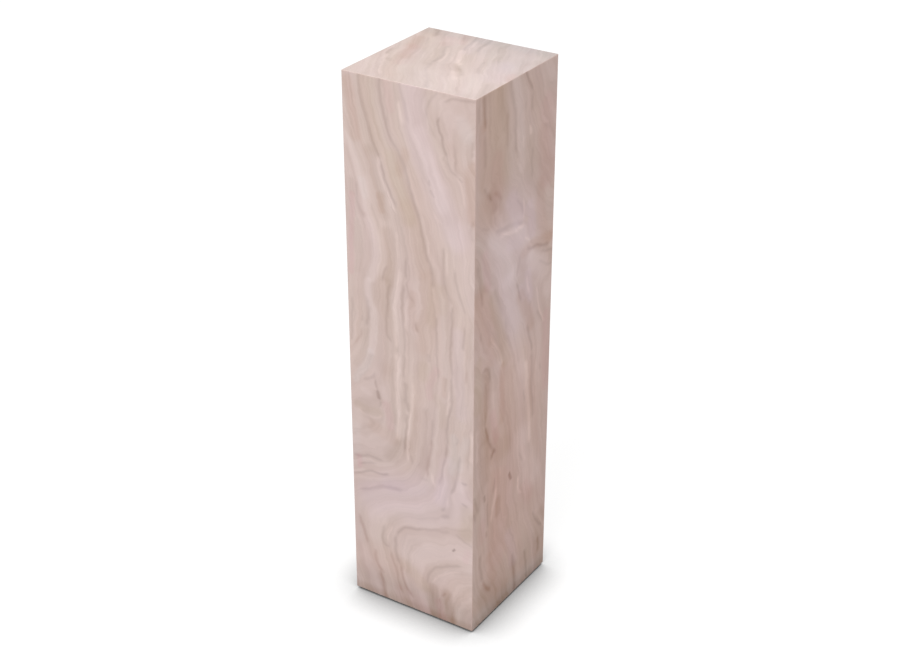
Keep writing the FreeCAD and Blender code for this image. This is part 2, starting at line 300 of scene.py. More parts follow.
    ("shade", 26, 0.8, (180, 52), (188, 25), (192, 0)),
    ("shade", 11, 1, (168, 66), (171, 45), (172, 20), (174, 0)),
    ("rose", 9, 0.5, (180, 40), (186, 20), (190, 0)),
    ("shade", 10, 0.9, (198, 66), (200, 45), (206, 22), (212, 0)),
    ("shade", 22, 0.5, (70, 50), (95, 35), (125, 20)),
    ("rose", 16, 0.3, (100, 30), (128, 22), (150, 14)),
    ("shade", 16, 0.4, (22, 60), (30, 30), (36, 0)),
    ("lilac", 110, 0.3, (60, 215), (190, 215)),
    # painted shade along the foot of the face: darker towards the bottom edge, and cooled so that it stays
    # grey
    ("shade", 18, 1.3, (0, 0), (125, 2), (250, 0)),
    ("shade", 52, 0.9, (0, 10), (125, 15), (250, 10)),
    ("cool", 46, 0.75, (0, 10), (125, 15), (250, 10)),
    ("rose", 60, 0.3, (0, 40), (125, 40), (250, 40)),
    # lower third, lines
    ("vein", 3, 0.9, (68, 297), (50, 298), (35, 298), (22, 293), (6, 290)),
    ("vein", 2.6, 0.9, (52, 286), (40, 284), (25, 279), (12, 274)),
    ("vein", 2.6, 1.2, (79, 275), (70, 269), (58, 266), (46, 268), (33, 265), (20, 258), (3, 251)),
    ("vein", 4, 0.8, (108, 250), (80, 248), (62, 244), (48, 236), (34, 227), (12, 221)),
    ("vein", 3.4, 0.8, (125, 332), (125, 320), (127, 310)),
    ("vein", 3, 0.5, (163, 290), (152, 291), (140, 289)),
    ("pale", 2.6, 0.9, (166, 308), (168, 295), (173, 280)),
    ("vein", 2.6, 0.8, (198, 350), (190, 335), (188, 316), (186, 300), (180, 285)),
    ("vein", 2.8, 1.2, (224, 311), (231, 306), (239, 310)),
    ("vein", 2.6, 1.1, (226, 268), (232, 264), (240, 262)),
    ("vein", 3.4, 0.9, (194, 247), (190, 241), (186, 234)),
    ("vein", 3.8, 0.8, (204, 232), (195, 227), (183, 224)),
    ("pale", 2.8, 0.6, (199, 268), (198, 245)),
    ("vein", 2.6, 0.7, (249, 184), (240, 187), (227, 192), (213, 199)),
    ("fleck", 3, 1.8, (212, 164), (210, 162)),
    ("vein", 3.6, 0.6, (205, 200), (180, 193), (160, 187), (145, 182)),
    ("vein", 3.2, 1, (150, 184), (130, 178), (115, 176), (105, 171), (96, 162), (90, 150)),
    ("vein", 3.4, 0.9, (90, 152), (88, 135), (88, 117), (92, 102), (98, 88)),
    ("umber", 3, 0.9, (98, 92), (101, 76), (104, 60), (110, 46), (117, 36), (127, 27)),
    ("vein", 3, 0.8, (68, 166), (63, 150), (61, 136), (62, 125), (68, 119), (78, 122)),
    ("pale", 3.4, 0.7, (82, 170), (76, 156), (72, 140), (74, 128)),
    ("umber", 2.8, 0.7, (79, 113), (80, 98), (84, 86), (90, 74), (92, 60), (95, 45), (104, 28)),
    ("umber", 3.8, 1.2, (8, 168), (14, 152), (19, 141), (23, 127), (28, 110)),
    ("umber", 3.6, 1.1, (44, 106), (45, 88), (48, 74), (55, 64), (63, 57)),
    ("umber", 4, 0.9, (54, 62), (57, 44), (61, 28), (66, 12), (69, 0)),
    (
        "vein", 2.8, 0.8, (228, 136), (210, 130), (195, 123), (180, 116), (168, 106), (160, 95),
        (156, 82), (156, 68),
    ),
    ("pale", 3.2, 0.6, (226, 124), (205, 114), (186, 102), (174, 90), (168, 76)),
    ("umber", 2.8, 0.8, (196, 66), (190, 58), (184, 54)),
)

RIGHT_STROKES = (
    # upper third, zones
    ("brown", 44, 0.45, (52, 1000), (52, 950), (54, 900), (56, 850), (48, 810)),
    ("tan", 30, 0.5, (62, 1000), (68, 950), (72, 900), (76, 850)),
    ("shade", 60, 0.25, (60, 975), (200, 960)),
    ("rose", 18, 0.4, (66, 880), (62, 855), (70, 830)),
    ("brown", 8, 0.5, (22, 1000), (24, 970), (24, 945)),
    ("brown", 20, 0.35, (24, 940), (20, 900), (24, 860)),
    ("brown", 30, 0.4, (28, 800), (45, 785), (68, 778)),
    ("light", 12, 0.8, (116, 1000), (128, 965), (135, 925), (137, 885), (142, 845)),
    ("light", 12, 0.4, (205, 1000), (215, 980), (232, 970)),
    ("rose", 28, 0.6, (222, 920), (222, 880), (222, 840), (226, 800)),
    ("shade", 22, 0.4, (210, 875), (216, 835), (224, 800)),
    ("shade", 22, 0.3, (180, 870), (184, 830), (190, 790)),
    ("brown", 15, 0.6, (203, 788), (207, 750), (212, 718), (226, 694), (240, 684)),
    ("light", 28, 1.15, (62, 742), (77, 730), (90, 702), (98, 668)),
    ("light", 26, 0.8, (128, 738), (140, 715), (152, 698), (170, 690)),
    ("lilac", 16, 0.5, (110, 716), (140, 712), (160, 726)),
    ("lilac", 22, 0.9, (112, 790), (125, 776), (135, 758)),
    ("lilac", 12, 0.8, (168, 765), (178, 742), (180, 712)),
    ("rose", 11, 0.5, (32, 728), (36, 700), (40, 670)),
    ("blue", 12, 0.3, (8, 756), (12, 748)),
    ("shade", 14, 0.5, (8, 738), (12, 705), (20, 670)),
    # upper third, lines
    ("vein", 5, 1.1, (24, 994), (26, 968), (28, 942)),
    ("vein", 4, 0.7, (27, 935), (27, 905), (28, 876)),
    ("vein", 3, 0.6, (8, 990), (8, 955)),
    ("umber", 3.2, 0.5, (93, 955), (94, 920), (95, 885)),
    ("vein", 4, 0.5, (99, 1000), (104, 978), (112, 958), (120, 940), (119, 905), (121, 872)),
    ("vein", 3.2, 1.3, (149, 1000), (155, 986), (163, 975), (173, 960)),
    ("vein", 4, 0.6, (173, 964), (170, 945), (172, 925)),
    ("vein", 2.4, 0.5, (150, 954), (150, 934)),
    ("vein", 2, 0.4, (222, 961), (238, 954)),
    ("vein", 3, 0.4, (208, 896), (224, 886), (238, 874), (246, 858)),
    ("vein", 3.6, 0.5, (174, 868), (172, 840), (176, 808)),
    ("vein", 4.4, 0.8, (22, 846), (34, 835), (44, 825), (52, 815)),
    ("umber", 11, 0.8, (38, 838), (50, 822), (60, 806), (62, 790)),
    ("umber", 4.4, 0.7, (56, 830), (70, 820), (84, 803)),
    ("vein", 2.6, 0.5, (18, 780), (32, 774), (46, 768)),
    ("vein", 3.4, 0.6, (124, 793), (132, 785), (141, 777), (146, 768), (150, 758)),
    ("vein", 5, 0.7, (60, 760), (80, 752), (98, 753), (116, 750), (134, 747), (150, 742)),
    ("pale", 4.4, 0.9, (74, 746), (92, 743), (106, 740), (124, 737), (140, 736), (154, 738)),
    ("vein", 3, 0.4, (126, 812), (128, 796)),
    ("pale", 3, 0.5, (143, 897), (144, 870)),
    ("pale", 3.8, 0.9, (164, 908), (167, 886)),
    ("pale", 2.6, 0.7, (148, 788), (151, 770), (152, 745)),
    ("pale", 2.6, 0.8, (152, 712), (165, 706), (177, 698)),
    ("vein", 3.6, 1, (159, 691), (172, 684), (183, 681), (195, 684), (207, 677), (221, 672), (240, 672)),
    ("vein", 2.8, 0.8, (210, 664), (228, 659), (249, 655)),
    ("vein", 3.6, 0.8, (7, 722), (11, 702), (15, 688), (19, 672), (22, 655), (24, 636)),
    # middle third, zones
    ("light", 20, 0.9, (178, 660), (202, 648), (228, 622), (238, 585)),
    ("brown", 11, 0.7, (154, 684), (180, 690), (210, 686), (240, 682)),
    ("light", 12, 0.5, (124, 665), (130, 650)),
    ("lilac", 12, 0.7, (168, 640), (172, 618), (176, 596)),
    ("light", 20, 0.5, (108, 650), (112, 615), (120, 585), (132, 552), (144, 515), (152, 470)),
    ("lilac", 20, 0.4, (100, 650), (112, 605), (126, 565)),
    ("light", 16, 0.5, (150, 470), (158, 420), (164, 370), (168, 320)),
    ("brown", 30, 0.75, (20, 650), (38, 610), (55, 575), (72, 545)),
    ("warm", 30, 0.5, (20, 640), (32, 590), (40, 540)),
    ("tan", 15, 0.8, (58, 640), (66, 610), (80, 575), (92, 540), (102, 508)),
    ("brown", 15, 0.8, (146, 606), (158, 585), (174, 560), (182, 540)),
    ("tan", 11, 0.6, (14, 540), (12, 500), (12, 450)),
    ("shade", 16, 1, (37, 505), (36, 485), (34, 455), (34, 420), (37, 388)),
    ("brown", 9, 0.3, (40, 500), (38, 470), (36, 430)),
    ("light", 12, 0.7, (58, 548), (72, 528), (82, 508)),
    ("tan", 10, 0.5, (54, 562), (70, 535), (86, 508)),
    ("brown", 26, 0.2, (100, 470), (96, 420), (96, 370), (94, 340)),
    ("lilac", 10, 0.6, (148, 622), (156, 604)),
    ("lilac", 90, 0.6, (125, 740), (125, 600)),
    ("light", 90, 0.55, (125, 730), (125, 480)),
    ("warm", 110, 0.85, (125, 430), (125, 180)),
    ("shade", 110, 0.35, (125, 340), (125, 120)),
    ("shade", 50, 0.25, (30, 150), (220, 150)),
    ("brown", 9, 0.7, (90, 500), (89, 470), (90, 435), (91, 395)),
    ("tan", 14, 0.3, (110, 478), (112, 430), (110, 380), (112, 335)),
    ("light", 10, 0.5, (62, 455), (64, 425), (68, 398)),
    ("rose", 11, 0.6, (62, 420), (68, 390), (74, 368)),
    ("rose", 12, 0.6, (233, 535), (237, 485), (236, 435), (238, 395)),
    ("light", 10, 0.3, (210, 520), (212, 470), (214, 420)),
    ("shade", 26, 0.5, (60, 350), (75, 340), (110, 335)),
    ("shade", 16, 0.9, (32, 368), (36, 335), (38, 305)),
    ("pale", 4, 0.8, (9, 415), (12, 385), (12, 345)),
    # middle third, lines
    ("vein", 3, 0.7, (203, 653), (216, 641), (230, 632), (249, 628)),
    ("vein", 4.4, 0.6, (142, 690), (138, 672), (132, 650)),
    ("vein", 3, 1, (130, 640), (137, 626), (142, 610), (150, 594)),
    ("pale", 4, 0.8, (166, 640), (168, 618), (173, 600)),
    ("vein", 4.4, 0.4, (60, 655), (71, 632), (81, 610), (94, 592)),
    ("vein", 3.6, 0.3, (96, 590), (99, 568), (107, 545), (118, 520)),
    ("pale", 2.8, 1, (50, 576), (57, 560), (69, 547), (79, 535)),
    ("pale", 3, 0.6, (76, 540), (83, 525), (90, 502)),
    ("vein", 3, 0.7, (21, 596), (22, 576)),
    ("vein", 4.4, 0.8, (24, 518), (38, 518), (49, 508), (51, 488)),
    ("vein", 5, 0.6, (34, 495), (40, 472), (41, 450), (39, 430), (34, 408)),
    ("vein", 4.4, 1.1, (35, 408), (42, 390), (48, 374), (54, 362), (63, 351), (74, 340)),
    ("vein", 5, 1.2, (70, 350), (62, 343), (54, 332)),
    ("vein", 3.6, 1, (170, 545), (174, 526), (180, 510), (187, 498), (190, 480)),
    ("vein", 5.4, 0.75, (189, 484), (188, 455), (187, 428), (190, 398), (195, 372), (197, 345)),
    ("pale", 5.4, 1.1, (168, 478), (172, 450), (173, 420), (178, 392), (181, 365), (184, 335), (186, 300)),
    ("vein", 3, 0.7, (160, 422), (164, 408), (169, 390)),
    ("pale", 2.8, 0.8, (198, 605), (205, 570), (215, 546), (228, 522)),
    ("vein", 2.6, 0.6, (200, 560), (209, 546), (220, 527)),
    ("vein", 3, 0.5, (217, 450), (220, 428)),
    ("pale", 3, 0.5, (206, 454), (207, 436)),
    # lower third, zones
    ("light", 30, 0.9, (158, 325), (168, 290), (180, 258), (196, 228)),
    ("rose", 28, 0.35, (92, 275), (100, 245), (92, 200), (84, 160), (82, 120)),
    ("brown", 20, 0.4, (70, 290), (60, 250), (62, 200), (66, 150)),
    ("rose", 18, 0.4, (170, 210), (188, 190)),
    ("light", 18, 0.4, (165, 150), (172, 115), (170, 80)),
    ("lilac", 16, 0.7, (122, 140), (132, 110), (138, 78)),
    ("brown", 12, 0.6, (54, 130), (60, 100), (72, 78)),
    ("shade", 30, 1.1, (48, 54), (72, 40), (95, 22)),
    ("shade", 14, 0.6, (26, 282), (14, 262), (4, 250)),
    ("rose", 12, 0.4, (30, 215), (28, 185)),
    ("shade", 22, 0.9, (234, 118), (232, 70), (236, 30)),
    ("shade", 16, 0.4, (136, 60), (142, 30)),
    # painted shade along the foot of the face: darker towards the bottom edge, and cooled so that it stays
    # grey
    ("shade", 18, 1.3, (0, 0), (125, 2), (250, 0)),
    ("shade", 75, 0.8, (0, 30), (125, 30), (250, 30)),
    ("cool", 34, 1.2, (0, 0), (125, 2), (250, 0)),
    # lower third, lines
    ("vein", 4, 0.7, (4, 280), (12, 258), (18, 244)),
    ("vein", 3.4, 0.8, (4, 248), (8, 228)),
    ("fleck", 4.2, 0.9, (37, 268), (38, 260)),
    ("vein", 3, 0.7, (72, 292), (69, 275), (66, 258)),
    ("vein", 3.2, 0.8, (48, 255), (47, 228), (50, 196)),
    ("umber", 3, 0.8, (43, 196), (46, 178)),
    ("pale", 4, 0.8, (76, 268), (73, 247), (64, 226), (58, 200)),
    ("pale", 4.4, 0.5, (90, 304), (88, 280)),
    ("shade", 10, 0.9, (82, 238), (82, 212)),
    ("fleck", 3.8, 1.2, (119, 270), (122, 263), (124, 257)),
    ("pale", 3.2, 1, (150, 252), (148, 230), (152, 217), (163, 205)),
    ("vein", 2.8, 0.6, (150, 300), (155, 286), (165, 270)),
    ("pale", 4, 0.5, (160, 310), (166, 290), (172, 265)),
    ("vein", 3.2, 0.9, (204, 146), (211, 128), (218, 117), (227, 106), (240, 92)),
    ("pale", 2.6, 0.6, (214, 144), (224, 126), (235, 109), (249, 88)),
    ("vein", 4.4, 0.9, (24, 155), (24, 130), (27, 110), (34, 90)),
    ("umber", 4.4, 1, (33, 94), (39, 78), (48, 66), (62, 55)),
    ("vein", 4.4, 0.9, (134, 95), (137, 70), (141, 45), (143, 22), (144, 0)),
    ("vein", 3.8, 1, (178, 78), (182, 50), (185, 28), (190, 0)),
    ("vein", 6, 0.9, (226, 78), (228, 58), (229, 38)),
    ("pale", 6, 0.4, (36, 150), (42, 122), (54, 98)),
)

TOP_STROKES = (
    ("brown", 22, 0.6, (12, 235), (22, 205), (36, 160)),
    ("rose", 16, 0.5, (34, 150), (45, 125), (60, 85)),
    ("brown", 10, 0.7, (16, 195), (30, 162), (42, 130), (52, 106)),
    ("tan", 22, 0.4, (56, 100), (72, 72), (86, 45), (96, 10)),
    ("brown", 26, 0.4, (22, 108), (42, 66), (62, 24)),
    ("brown", 14, 0.4, (244, 190), (246, 150), (248, 110)),
    ("rose", 12, 0.5, (62, 222), (74, 192)),
    ("rose", 8, 0.5, (78, 245), (86, 225), (92, 208)),
    ("shade", 14, 0.6, (72, 190), (84, 165), (94, 135), (98, 105)),
    ("shade", 11, 0.7, (136, 112), (150, 98)),
    ("shade", 30, 0.4, (185, 235), (200, 205), (210, 175)),
    ("cool", 60, 0.8, (150, 240), (210, 215), (235, 180)),
    ("lilac", 26, 0.5, (192, 240), (216, 200), (236, 150)),
    ("lilac", 22, 0.7, (205, 150), (216, 120), (226, 95)),
    ("light", 14, 0.4, (196, 92), (212, 62), (222, 30)),
    ("rose", 8, 0.5, (240, 122), (248, 100)),
    ("lilac", 12, 0.5, (110, 240), (116, 205), (122, 178)),
    ("light", 18, 0.6, (126, 62), (150, 38), (168, 8)),
    ("light", 12, 0.4, (168, 60), (182, 35), (196, 6)),
    # painted light and shade: the face lighter towards its front edge, and darker and cooler along its back
    # edge
    ("light", 70, 0.35, (0, 12), (125, 8), (250, 12)),
    ("light", 40, 0.22, (0, 90), (125, 88), (250, 90)),
    ("shade", 34, 0.6, (0, 248), (125, 250), (250, 248)),
    ("cool", 26, 0.8, (0, 250), (125, 250), (250, 250)),
    ("vein", 4.6, 0.9, (78, 186), (88, 168), (95, 152), (100, 138), (103, 122), (102, 104)),
    ("vein", 3.6, 0.8, (100, 106), (104, 87), (112, 70), (123, 56), (137, 38), (147, 22), (156, 6)),
    ("vein", 3, 0.8, (97, 248), (105, 226), (107, 203), (112, 184), (118, 165), (124, 152), (133, 136)),
    ("vein", 3.4, 0.9, (125, 250), (129, 225), (130, 203), (138, 184)),
    ("vein", 3.2, 0.6, (148, 107), (159, 100), (169, 90), (179, 75)),
    ("vein", 3, 0.7, (170, 156), (175, 136), (180, 120), (186, 109), (198, 96)),
    ("vein", 2.6, 0.6, (152, 232), (160, 212), (169, 196)),
    ("vein", 2.4, 0.5, (179, 192), (185, 172), (194, 153)),
    ("vein", 2.6, 0.5, (192, 36), (202, 20), (210, 8)),
    ("vein", 3.4, 0.5, (227, 72), (236, 50), (243, 32), (249, 12)),
    ("vein", 5, 1, (18, 250), (26, 236), (36, 212)),
    ("vein", 2.4, 0.7, (8, 134), (13, 112), (20, 96)),
    ("fleck", 4, 0.4, (33, 84), (39, 77)),
    ("vein", 2.4, 0.6, (32, 66), (40, 48), (49, 30)),
    ("umber", 2.6, 0.6, (75, 245), (84, 226), (93, 211)),
    ("vein", 2.4, 0.5, (28, 208), (38, 190), (49, 166)),
    ("vein", 2.4, 0.4, (40, 240), (52, 215), (64, 190)),
    ("pale", 3, 1.1, (18, 104), (22, 90), (30, 75), (38, 56), (50, 36), (63, 15)),
    ("pale", 3, 1.2, (82, 182), (95, 160), (101, 146), (107, 128), (110, 110)),
    ("pale", 3.6, 0.7, (104, 238), (113, 217), (120, 198)),
    ("pale", 5, 1.4, (110, 184), (118, 165), (127, 148), (136, 131), (147, 112)),
    ("pale", 2.6, 0.7, (112, 150), (120, 135), (127, 122)),
    ("pale", 4.6, 0.7, (149, 94), (157, 82), (165, 70), (178, 54)),
    ("pale", 2.6, 0.5, (54, 208), (66, 188), (77, 163)),
    ("pale", 3, 0.4, (184, 128), (196, 108), (206, 88)),
)

# Each slab: name, traced lines, across and up directions, mirrored, base tint, contrast, seed.
SLABS = (
    ("front", FRONT_STROKES, (1, 0, 0), (0, 0, 1), False, (0.0, 0.0, 0.0), 1.2, 1),
    ("right", RIGHT_STROKES, (0, 1, 0), (0, 0, 1), False, (0.0, 1.2, 0.6), 1.4, 2),
    ("back", FRONT_STROKES, (-1, 0, 0), (0, 0, 1), True, (0.0, 0.1, 0.0), 1.2, 3),
    ("left", RIGHT_STROKES, (0, -1, 0), (0, 0, 1), True, (0.0, 0.7, 0.3), 1.3, 4),
    ("top", TOP_STROKES, (1, 0, 0), (0, 1, 0), False, (-0.1, -0.5, -0.4), 1.1, 5),
)


def add_object(name, data):
    """A new object in the scene."""
    added = bpy.data.objects.new(name, data)
    bpy.context.scene.collection.objects.link(added)
    return added


# Stone: the bedding and the traced lines, on a slab's face


def smooth_line(points, step):
    """Evenly spaced points along the smoothed line through given points, in millimetres."""
    line = np.array(points, float)
    for _ in range(2):
        near, far = line[:-1], line[1:]
        cut = np.stack([0.75 * near + 0.25 * far, 0.25 * near + 0.75 * far], 1).reshape(-1, 2)
        line = np.vstack([line[:1], cut, line[-1:]])
    run = np.concatenate([[0], np.cumsum(np.hypot(*np.diff(line, axis=0).T))])
    at = np.linspace(0, run[-1], max(2, int(run[-1] / step) + 1))
    return np.column_stack([np.interp(at, run, line[:, 0]), np.interp(at, run, line[:, 1])])


def spline_weights(at, step, count):
    """The matrix that takes values on `count` nodes, `step` apart, to a smooth curve at the places `at`."""
    weights = np.zeros((len(at), count))
    place = np.clip(at / step, 0, count - 1 - 1e-9)
    cell = place.astype(int)
    t = place - cell
    basis = (
        (1 - t) ** 3 / 6,
        (3 * t**3 - 6 * t**2 + 4) / 6,
        (-3 * t**3 + 3 * t**2 + 3 * t + 1) / 6,
        t**3 / 6,
    )
    for offset, share in zip((-1, 0, 1, 2), basis):
        np.add.at(weights, (np.arange(len(at)), np.clip(cell + offset, 0, count - 1)), share)
    return weights


def smooth_random(rng, across, up, step):
    """A smooth random field over the face, with features about `step` wide."""
    columns, rows = int(across[-1] / step) + 3, int(up[-1] / step) + 3
    nodes = rng.normal(size=(rows, columns))
    return spline_weights(up, step, rows) @ nodes @ spline_weights(across, step, columns).T


def flow_field(samples, directions, targets, weights, slope, columns, rows):
    """Node values of the smooth field whose slope along `directions` at `samples` is nearest `targets`."""
    count = columns * rows

    def squared(along_up, along_across):
        left = np.diff(np.eye(rows), along_up, axis=0)
        right = np.diff(np.eye(columns), along_across, axis=0)
        return np.kron(left.T @ left, right.T @ right)

    draw = FLOW_DRAW * (squared(0, 1) + squared(1, 0)) / FLOW_STEP**2
    matrix = FLOW_STIFFNESS * (squared(0, 2) + squared(2, 0) + 2 * squared(1, 1)) / FLOW_STEP**2
    matrix += draw + FLOW_FLOOR * np.eye(count)
    guess = np.add.outer(slope[1] * np.arange(rows), slope[0] * np.arange(columns)) * FLOW_STEP
    right_side = draw @ guess.ravel()

    place = np.clip(samples / FLOW_STEP, 0, [columns - 1.001, rows - 1.001])
    cell = place.astype(int)
    s, t = (place - cell).T
    corners = [(0, 0), (0, 1), (1, 0), (1, 1)]
    slopes_across = np.stack([-(1 - t), 1 - t, -t, t], 1) / FLOW_STEP
    slopes_up = np.stack([-(1 - s), -s, 1 - s, s], 1) / FLOW_STEP
    rows_of = directions[:, :1] * slopes_across + directions[:, 1:] * slopes_up
    index = np.stack([(cell[:, 1] + j) * columns + cell[:, 0] + i for j, i in corners], 1)
    for m in range(4):
        np.add.at(right_side, index[:, m], weights * targets * rows_of[:, m])
        for n in range(4):
            np.add.at(matrix, (index[:, m], index[:, n]), weights * rows_of[:, m] * rows_of[:, n])
    return np.linalg.solve(matrix, right_side).reshape(rows, columns)


def bedding(strokes, across, up):
    """Two smooth coordinates of every mesh point on a face: across the stone's bands and along them."""
    places, tangents = [], []
    for kind, _, _, *points in strokes:
        if kind in LINES:
            line = smooth_line(points, FLOW_LINE_STEP)
            steps = np.diff(line, axis=0)
            places.append((line[1:] + line[:-1]) / 2)
            tangents.append(steps / np.hypot(*steps.T)[:, None])
    places, tangents = np.vstack(places), np.vstack(tangents)
    normals = np.column_stack([-tangents[:, 1], tangents[:, 0]])
    columns, rows = int(across[-1] / FLOW_STEP) + 2, int(up[-1] / FLOW_STEP) + 2
    both = np.vstack([places, places])
    ways = np.vstack([tangents, normals])
    targets = np.repeat((0.0, 1.0), len(places))
    holds = np.repeat((STRONG_HOLD, WEAK_HOLD), len(places))
    band = flow_field(both, ways, targets, holds, (1, 0), columns, rows)
    run = flow_field(both, ways, targets[::-1], holds[::-1], (0, -1), columns, rows)
    to_up, to_across = spline_weights(up, FLOW_STEP, rows), spline_weights(across, FLOW_STEP, columns)
    return to_up @ band @ to_across.T, to_up @ run @ to_across.T


def end_taper(along, length, fades):
    """How strong a line still is `along` from one of its ends."""
    if not fades:
        return np.ones_like(along)
    return np.clip(along / min(TAPER, length / 3), 0.0, 1.0) ** TAPER_POWER


def paint_strokes(strokes, x, y, size):
    """What the strokes add at every mesh point: tone, warmth and rose, and apart the lines' tone."""
    tint, line_tone = np.zeros(x.shape + (3,)), np.zeros(x.shape)
    for kind, half_width, strength, *points in strokes:
        line = smooth_line(points, LINE_STEP)
        reach = STROKE_REACH * half_width + STROKE_MARGIN
        low, high = line.min(0) - reach, line.max(0) + reach
        near = (x > low[0]) & (x < high[0]) & (y > low[1]) & (y < high[1])
        apart = np.hypot(x[near][:, None] - line[:, 0], y[near][:, None] - line[:, 1])
        distance = apart.min(1)
        length = LINE_STEP * (len(line) - 1)
        along = LINE_STEP * apart.argmin(1)
        is_line = kind in LINES
        starts_inside, ends_inside = (
            all(EDGE_BAND < at < side - EDGE_BAND for at, side in zip(point, size))
            for point in (points[0], points[-1])
        )
        taper = end_taper(along, length, is_line and starts_inside)
        taper = taper * end_taper(length - along, length, is_line and ends_inside)
        width = half_width * (TAPER_WIDTH + (1 - TAPER_WIDTH) * taper)
        cover = strength * taper * np.exp(-((distance / width) ** (LINE_POWER if is_line else ZONE_POWER)))
        tone, warmth, rose = KINDS[kind]
        if is_line:
            line_tone[near] += cover * tone
            tint[near] += cover[:, None] * np.array((0.0, warmth, rose))
        else:
            tint[near] += cover[:, None] * np.array((tone, warmth, rose))
    return tint, line_tone


# Stone: the slabs' meshes


def arris_rings(mitred_foot):
    """Insets and depths of the rings that round a slab's outer edge, sides first and then the foot."""
    rings = []
    for k in range(ARRIS_STEPS + 1):
        side = math.radians(45) * k / ARRIS_STEPS
        foot = side if mitred_foot else 2 * side
        rings.append([ARRIS * (1 - f(turn)) for turn in (side, foot) for f in (math.sin, math.cos)])
    return rings


def face_border(columns, rows):
    """Column and row numbers of the grid points round a face, from its low corner."""
    border = [(i, 0) for i in range(columns)]
    border += [(columns, j) for j in range(rows)]
    border += [(i, rows) for i in range(columns, 0, -1)]
    border += [(0, j) for j in range(rows, 0, -1)]
    return np.array(border).T


def closed_faces(columns, rows, border_i, border_j, ring_count):
    """The faces of a grid and of the rings that close it behind, and the grid's own border points."""
    width, around = columns + 1, len(border_i)
    j, i = np.mgrid[0:rows, 0:columns]
    low = (j * width + i).ravel()
    faces = np.column_stack([low, low + 1, low + width + 1, low + width]).tolist()
    loops = [border_j * width + border_i]
    for ring in range(ring_count):
        loops.append(width * (rows + 1) + ring * around + np.arange(around))
    for outer, inner in zip(loops, loops[1:]):
        faces += np.column_stack([outer, inner, np.roll(inner, -1), np.roll(outer, -1)]).tolist()
    faces.append(loops[-1][::-1].tolist())
    return faces, loops[0]


def slab_bands(strokes, across, up, size, mirrored, seed):
    """The two bedding coordinates, the tint and the lines' tone at every point of a slab's face."""
    rng = np.random.default_rng(seed)
    bed, run = bedding(strokes, across, up)
    x, y = np.meshgrid(across, up)
    for step, stray in WOBBLES:
        x = x + stray * smooth_random(rng, across, up, step)
        y = y + stray * smooth_random(rng, across, up, step)
    fields = (bed, run, *paint_strokes(strokes, x, y, size))
    return tuple(field[:, ::-1] for field in fields) if mirrored else fields


def slab_piece(name, strokes, across_way, up_way, mirrored, base_tint, contrast, seed):
    """A slab as one closed piece with rounded arrises, mitres and a back, and its bands as attributes."""
    node = name + "_panel"
    low, high = np.array(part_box(node))
    whole_low, whole_high = np.array(cad_box)
    across_way, up_way = np.array(across_way, float), np.array(up_way, float)
    inward = -np.cross(across_way, up_way)
    span = whole_high - whole_low
    across_size, up_size, depth_size = (abs(way @ span) for way in (across_way, up_way, inward))
    half_way = across_way * across_size / 2 + up_way * up_size / 2 + inward * depth_size / 2
    corner = (whole_low + whole_high) / 2 - half_way
    thickness = min(high - low)
    is_top = up_way[2] == 0
    foot = 0.0 if is_top else low[2] - whole_low[2]

    rings = arris_rings(is_top)
    columns = round((across_size - 2 * ARRIS) / (GRID_STEP * MM))
    rows = round((up_size - foot - 2 * ARRIS) / (GRID_STEP * MM))
    a_grid = np.linspace(ARRIS, across_size - ARRIS, columns + 1)
    b_grid = np.linspace(foot + ARRIS, up_size - ARRIS, rows + 1)
    border_i, border_j = face_border(columns, rows)

    def ring_points(side_inset, side_depth, foot_inset, foot_depth):
        at_foot = (border_j == 0) & (not is_top)
        foot_corner = at_foot & ((border_i == 0) | (border_i == columns))
        pull = (foot_depth / ARRIS) ** 2 if foot_depth <= ARRIS else 0.0
        inset = np.where(foot_corner, side_inset + (ARRIS - side_inset) * pull, side_inset)
        a = inset + (across_size - 2 * inset) * border_i / columns
        low_b = foot + foot_inset
        b = low_b + (up_size - side_inset - low_b) * border_j / rows
        depth = np.where(at_foot, max(foot_depth, side_depth), side_depth)
        return np.column_stack([a, b, depth])

    grid_a, grid_b = np.meshgrid(a_grid, b_grid)
    points = [np.column_stack([grid_a.ravel(), grid_b.ravel(), np.zeros(grid_a.size)])]
    points += [ring_points(*ring) for ring in rings[1:]]
    points.append(ring_points(thickness, thickness, thickness if is_top else 0.0, thickness))
    points = np.vstack(points)
    faces, edge = closed_faces(columns, rows, border_i, border_j, len(rings))
    world = corner + points[:, :1] * across_way + points[:, 1:2] * up_way + points[:, 2:] * inward
    mesh = bpy.data.meshes.new(name + "_stone")
    mesh.from_pydata(world.tolist(), [], faces)
    mesh.shade_smooth()
    mesh.set_sharp_from_angle(angle=math.radians(SHARP_ANGLE))

    size = (across_size / MM, up_size / MM)
    bed, run, tint, line_tone = slab_bands(strokes, a_grid / MM, b_grid / MM, size, mirrored, seed)
    tint = contrast * tint + np.array(base_tint)
    order = np.concatenate([np.arange(grid_a.size), np.tile(edge, len(rings))])
    flow = np.column_stack([bed.ravel()[order] * MM, run.ravel()[order] * MM, points[:, 2] + seed])
    for label, values in (("flow", flow), ("tint", tint.reshape(-1, 3)[order])):
        mesh.attributes.new(label, "FLOAT_VECTOR", "POINT").data.foreach_set("vector", values.ravel())
    lines = contrast * line_tone.ravel()[order]
    mesh.attributes.new("lines", "FLOAT", "POINT").data.foreach_set("value", lines)

    piece = add_object(name + "_stone", mesh)
    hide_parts(node)
    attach(piece, "column")
    return piece


# Material helpers


